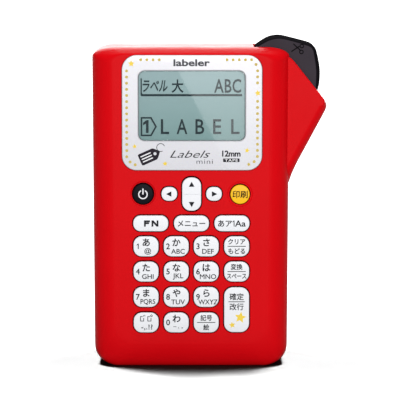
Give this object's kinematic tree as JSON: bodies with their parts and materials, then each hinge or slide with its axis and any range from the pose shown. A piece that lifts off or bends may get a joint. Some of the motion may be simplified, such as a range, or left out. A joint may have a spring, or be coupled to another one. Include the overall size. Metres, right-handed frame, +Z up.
{
  "type": "label maker",
  "caption": "Handheld electronic label maker with display, number keypad, corner cutter lever, and tape and battery bays behind a hinged back cover.",
  "frame": {"origin": "centre of the flat base it stands on, at floor level", "axes": "+Z up along the case, +X to the right seen from the keypad side, -Y out of the keypad"},
  "size_m": [0.1129, 0.0553, 0.1585],
  "materials": {
    "case_red": "satin moulded",
    "cover_red": "satin moulded",
    "display_panel": "silver-white satin",
    "display_lens": "clear",
    "lcd_module": "grey-green reflective",
    "keypad_mat": "matte",
    "main_board": "solder-mask green",
    "key_power": "satin",
    "key_white": "satin",
    "key_print": "satin",
    "cutter_lever": "satin",
    "bare_steel": "ground",
    "blade_steel": "ground",
    "print_head": "glazed",
    "head_heat_sink": "bent sheet",
    "platen_roller": "ground rubber",
    "roller_holder": "moulded",
    "mechanism_chassis": "moulded",
    "drive_motor": "drawn can",
    "motor_pinion": "hobbed",
    "gear_white": "moulded",
    "gear_black": "moulded",
    "tape_cassette": "moulded",
    "cell_sleeve": "plain printed sleeve",
    "contact_plate": "plated",
    "screw_steel": "zinc plated"
  },
  "bodies": {
    "case": {"front_case": "case_red", "rear_case": "case_red", "display_panel": "display_panel", "display_lens": "display_lens", "lcd_module": "lcd_module", "keypad_mat": "keypad_mat", "main_board": "main_board", "lever_pivot_pin": "bare_steel", "fixed_blade": "blade_steel", "lever_spring": "bare_steel", "print_head": "print_head", "head_heat_sink": "head_heat_sink", "mechanism_chassis": "mechanism_chassis", "drive_motor": "drive_motor", "tape_cassette": "tape_cassette", "battery_1": "cell_sleeve", "battery_2": "cell_sleeve", "battery_3": "cell_sleeve", "battery_4": "cell_sleeve", "battery_5": "cell_sleeve", "battery_6": "cell_sleeve", "contact_strip_lower": "contact_plate", "contact_strip_upper": "contact_plate", "case_screw_1": "screw_steel", "case_screw_2": "screw_steel", "case_screw_3": "screw_steel", "case_screw_4": "screw_steel"},
    "key_power": {"key_power": "key_power"},
    "key_left": {"key_left": "key_white"},
    "key_right": {"key_right": "key_white"},
    "key_up_down": {"key_up_down": "key_white"},
    "key_print": {"key_print": "key_print"},
    "key_design": {"key_design": "key_white"},
    "key_menu": {"key_menu": "key_white"},
    "key_mode": {"key_mode": "key_white"},
    "key_0": {"key_0": "key_white"},
    "key_1": {"key_1": "key_white"},
    "key_2": {"key_2": "key_white"},
    "key_3": {"key_3": "key_white"},
    "key_4": {"key_4": "key_white"},
    "key_5": {"key_5": "key_white"},
    "key_6": {"key_6": "key_white"},
    "key_7": {"key_7": "key_white"},
    "key_8": {"key_8": "key_white"},
    "key_9": {"key_9": "key_white"},
    "key_clear": {"key_clear": "key_white"},
    "key_space": {"key_space": "key_white"},
    "key_enter": {"key_enter": "key_white"},
    "key_punctuation": {"key_punctuation": "key_white"},
    "key_symbol": {"key_symbol": "key_white"},
    "cutter_lever": {"cutter_lever": "cutter_lever"},
    "moving_blade": {"moving_blade": "blade_steel"},
    "back_cover": {"back_cover": "cover_red"},
    "roller_holder": {"roller_holder": "roller_holder"},
    "platen_roller": {"platen_roller": "platen_roller"},
    "motor_pinion": {"motor_pinion": "motor_pinion"},
    "reduction_gear": {"reduction_gear": "gear_white"},
    "tape_drive_gear": {"tape_drive_gear": "gear_white"},
    "ribbon_drive_gear": {"ribbon_drive_gear": "gear_black"}
  },
  "joints": [
    {"name": "key_power_press", "type": "slide", "parent": "case", "child": "key_power", "axis": [0, 1, 0], "range_m": [0, 0.001], "stiffness_N_per_m": 150, "springref_m": -0.0004},
    {"name": "key_left_press", "type": "slide", "parent": "case", "child": "key_left", "axis": [0, 1, 0], "range_m": [0, 0.001], "stiffness_N_per_m": 150, "springref_m": -0.0004},
    {"name": "key_right_press", "type": "slide", "parent": "case", "child": "key_right", "axis": [0, 1, 0], "range_m": [0, 0.001], "stiffness_N_per_m": 150, "springref_m": -0.0004},
    {"name": "key_up_down_rock", "type": "hinge", "parent": "case", "child": "key_up_down", "pos_m": [0.0004, -0.0231, 0.0838], "axis": [1, 0, 0], "range_deg": [-4, 4], "stiffness_Nm_per_rad": 0.004},
    {"name": "key_print_press", "type": "slide", "parent": "case", "child": "key_print", "axis": [0, 1, 0], "range_m": [0, 0.001], "stiffness_N_per_m": 150, "springref_m": -0.0004},
    {"name": "key_design_press", "type": "slide", "parent": "case", "child": "key_design", "axis": [0, 1, 0], "range_m": [0, 0.001], "stiffness_N_per_m": 150, "springref_m": -0.0004},
    {"name": "key_menu_press", "type": "slide", "parent": "case", "child": "key_menu", "axis": [0, 1, 0], "range_m": [0, 0.001], "stiffness_N_per_m": 150, "springref_m": -0.0004},
    {"name": "key_mode_press", "type": "slide", "parent": "case", "child": "key_mode", "axis": [0, 1, 0], "range_m": [0, 0.001], "stiffness_N_per_m": 150, "springref_m": -0.0004},
    {"name": "key_0_press", "type": "slide", "parent": "case", "child": "key_0", "axis": [0, 1, 0], "range_m": [0, 0.001], "stiffness_N_per_m": 150, "springref_m": -0.0004},
    {"name": "key_1_press", "type": "slide", "parent": "case", "child": "key_1", "axis": [0, 1, 0], "range_m": [0, 0.001], "stiffness_N_per_m": 150, "springref_m": -0.0004},
    {"name": "key_2_press", "type": "slide", "parent": "case", "child": "key_2", "axis": [0, 1, 0], "range_m": [0, 0.001], "stiffness_N_per_m": 150, "springref_m": -0.0004},
    {"name": "key_3_press", "type": "slide", "parent": "case", "child": "key_3", "axis": [0, 1, 0], "range_m": [0, 0.001], "stiffness_N_per_m": 150, "springref_m": -0.0004},
    {"name": "key_4_press", "type": "slide", "parent": "case", "child": "key_4", "axis": [0, 1, 0], "range_m": [0, 0.001], "stiffness_N_per_m": 150, "springref_m": -0.0004},
    {"name": "key_5_press", "type": "slide", "parent": "case", "child": "key_5", "axis": [0, 1, 0], "range_m": [0, 0.001], "stiffness_N_per_m": 150, "springref_m": -0.0004},
    {"name": "key_6_press", "type": "slide", "parent": "case", "child": "key_6", "axis": [0, 1, 0], "range_m": [0, 0.001], "stiffness_N_per_m": 150, "springref_m": -0.0004},
    {"name": "key_7_press", "type": "slide", "parent": "case", "child": "key_7", "axis": [0, 1, 0], "range_m": [0, 0.001], "stiffness_N_per_m": 150, "springref_m": -0.0004},
    {"name": "key_8_press", "type": "slide", "parent": "case", "child": "key_8", "axis": [0, 1, 0], "range_m": [0, 0.001], "stiffness_N_per_m": 150, "springref_m": -0.0004},
    {"name": "key_9_press", "type": "slide", "parent": "case", "child": "key_9", "axis": [0, 1, 0], "range_m": [0, 0.001], "stiffness_N_per_m": 150, "springref_m": -0.0004},
    {"name": "key_clear_press", "type": "slide", "parent": "case", "child": "key_clear", "axis": [0, 1, 0], "range_m": [0, 0.001], "stiffness_N_per_m": 150, "springref_m": -0.0004},
    {"name": "key_space_press", "type": "slide", "parent": "case", "child": "key_space", "axis": [0, 1, 0], "range_m": [0, 0.001], "stiffness_N_per_m": 150, "springref_m": -0.0004},
    {"name": "key_enter_press", "type": "slide", "parent": "case", "child": "key_enter", "axis": [0, 1, 0], "range_m": [0, 0.001], "stiffness_N_per_m": 150, "springref_m": -0.0004},
    {"name": "key_punctuation_press", "type": "slide", "parent": "case", "child": "key_punctuation", "axis": [0, 1, 0], "range_m": [0, 0.001], "stiffness_N_per_m": 150, "springref_m": -0.0004},
    {"name": "key_symbol_press", "type": "slide", "parent": "case", "child": "key_symbol", "axis": [0, 1, 0], "range_m": [0, 0.001], "stiffness_N_per_m": 150, "springref_m": -0.0004},
    {"name": "cutter_lever_press", "type": "hinge", "parent": "case", "child": "cutter_lever", "pos_m": [0.035, 0, 0.1469], "axis": [0, 1, 0], "range_deg": [0, 11], "stiffness_Nm_per_rad": 0.3, "springref_deg": -2.86},
    {"name": "moving_blade_cut", "type": "slide", "parent": "case", "child": "moving_blade", "axis": [0, 0, -1], "range_m": [0, 0.0032]},
    {"name": "back_cover_open", "type": "hinge", "parent": "case", "child": "back_cover", "pos_m": [0, 0.02595, 0.03275], "axis": [-1, 0, 0], "range_deg": [0, 90]},
    {"name": "roller_holder_release", "type": "hinge", "parent": "case", "child": "roller_holder", "pos_m": [0.0384, 0, 0.1044], "axis": [0, 1, 0], "range_deg": [0, 6.1]},
    {"name": "reduction_gear_spin", "type": "hinge", "parent": "case", "child": "reduction_gear", "pos_m": [0.00257, 0, 0.11402], "axis": [0, 1, 0], "continuous": true},
    {"name": "motor_pinion_spin", "type": "hinge", "parent": "case", "child": "motor_pinion", "pos_m": [-0.01319, 0, 0.11124], "axis": [0, 1, 0], "continuous": true},
    {"name": "tape_drive_gear_spin", "type": "hinge", "parent": "case", "child": "tape_drive_gear", "pos_m": [0.02257, 0, 0.11402], "axis": [0, 1, 0], "continuous": true},
    {"name": "ribbon_drive_gear_spin", "type": "hinge", "parent": "case", "child": "ribbon_drive_gear", "pos_m": [0.01257, 0, 0.13134], "axis": [0, 1, 0], "continuous": true},
    {"name": "platen_roller_spin", "type": "hinge", "parent": "roller_holder", "child": "platen_roller", "pos_m": [0.0346, 0, 0.1184], "axis": [0, 1, 0], "continuous": true}
  ],
  "couplings": [
    {"joint": "moving_blade_cut", "follows": "cutter_lever_press", "m_per_rad": 0.0162},
    {"joint": "roller_holder_release", "follows": "back_cover_open", "ratio": 0.066667},
    {"joint": "motor_pinion_spin", "follows": "reduction_gear_spin", "ratio": -3},
    {"joint": "tape_drive_gear_spin", "follows": "reduction_gear_spin", "ratio": -1.5},
    {"joint": "ribbon_drive_gear_spin", "follows": "reduction_gear_spin", "ratio": -1.5},
    {"joint": "platen_roller_spin", "follows": "reduction_gear_spin", "ratio": 2.5}
  ]
}
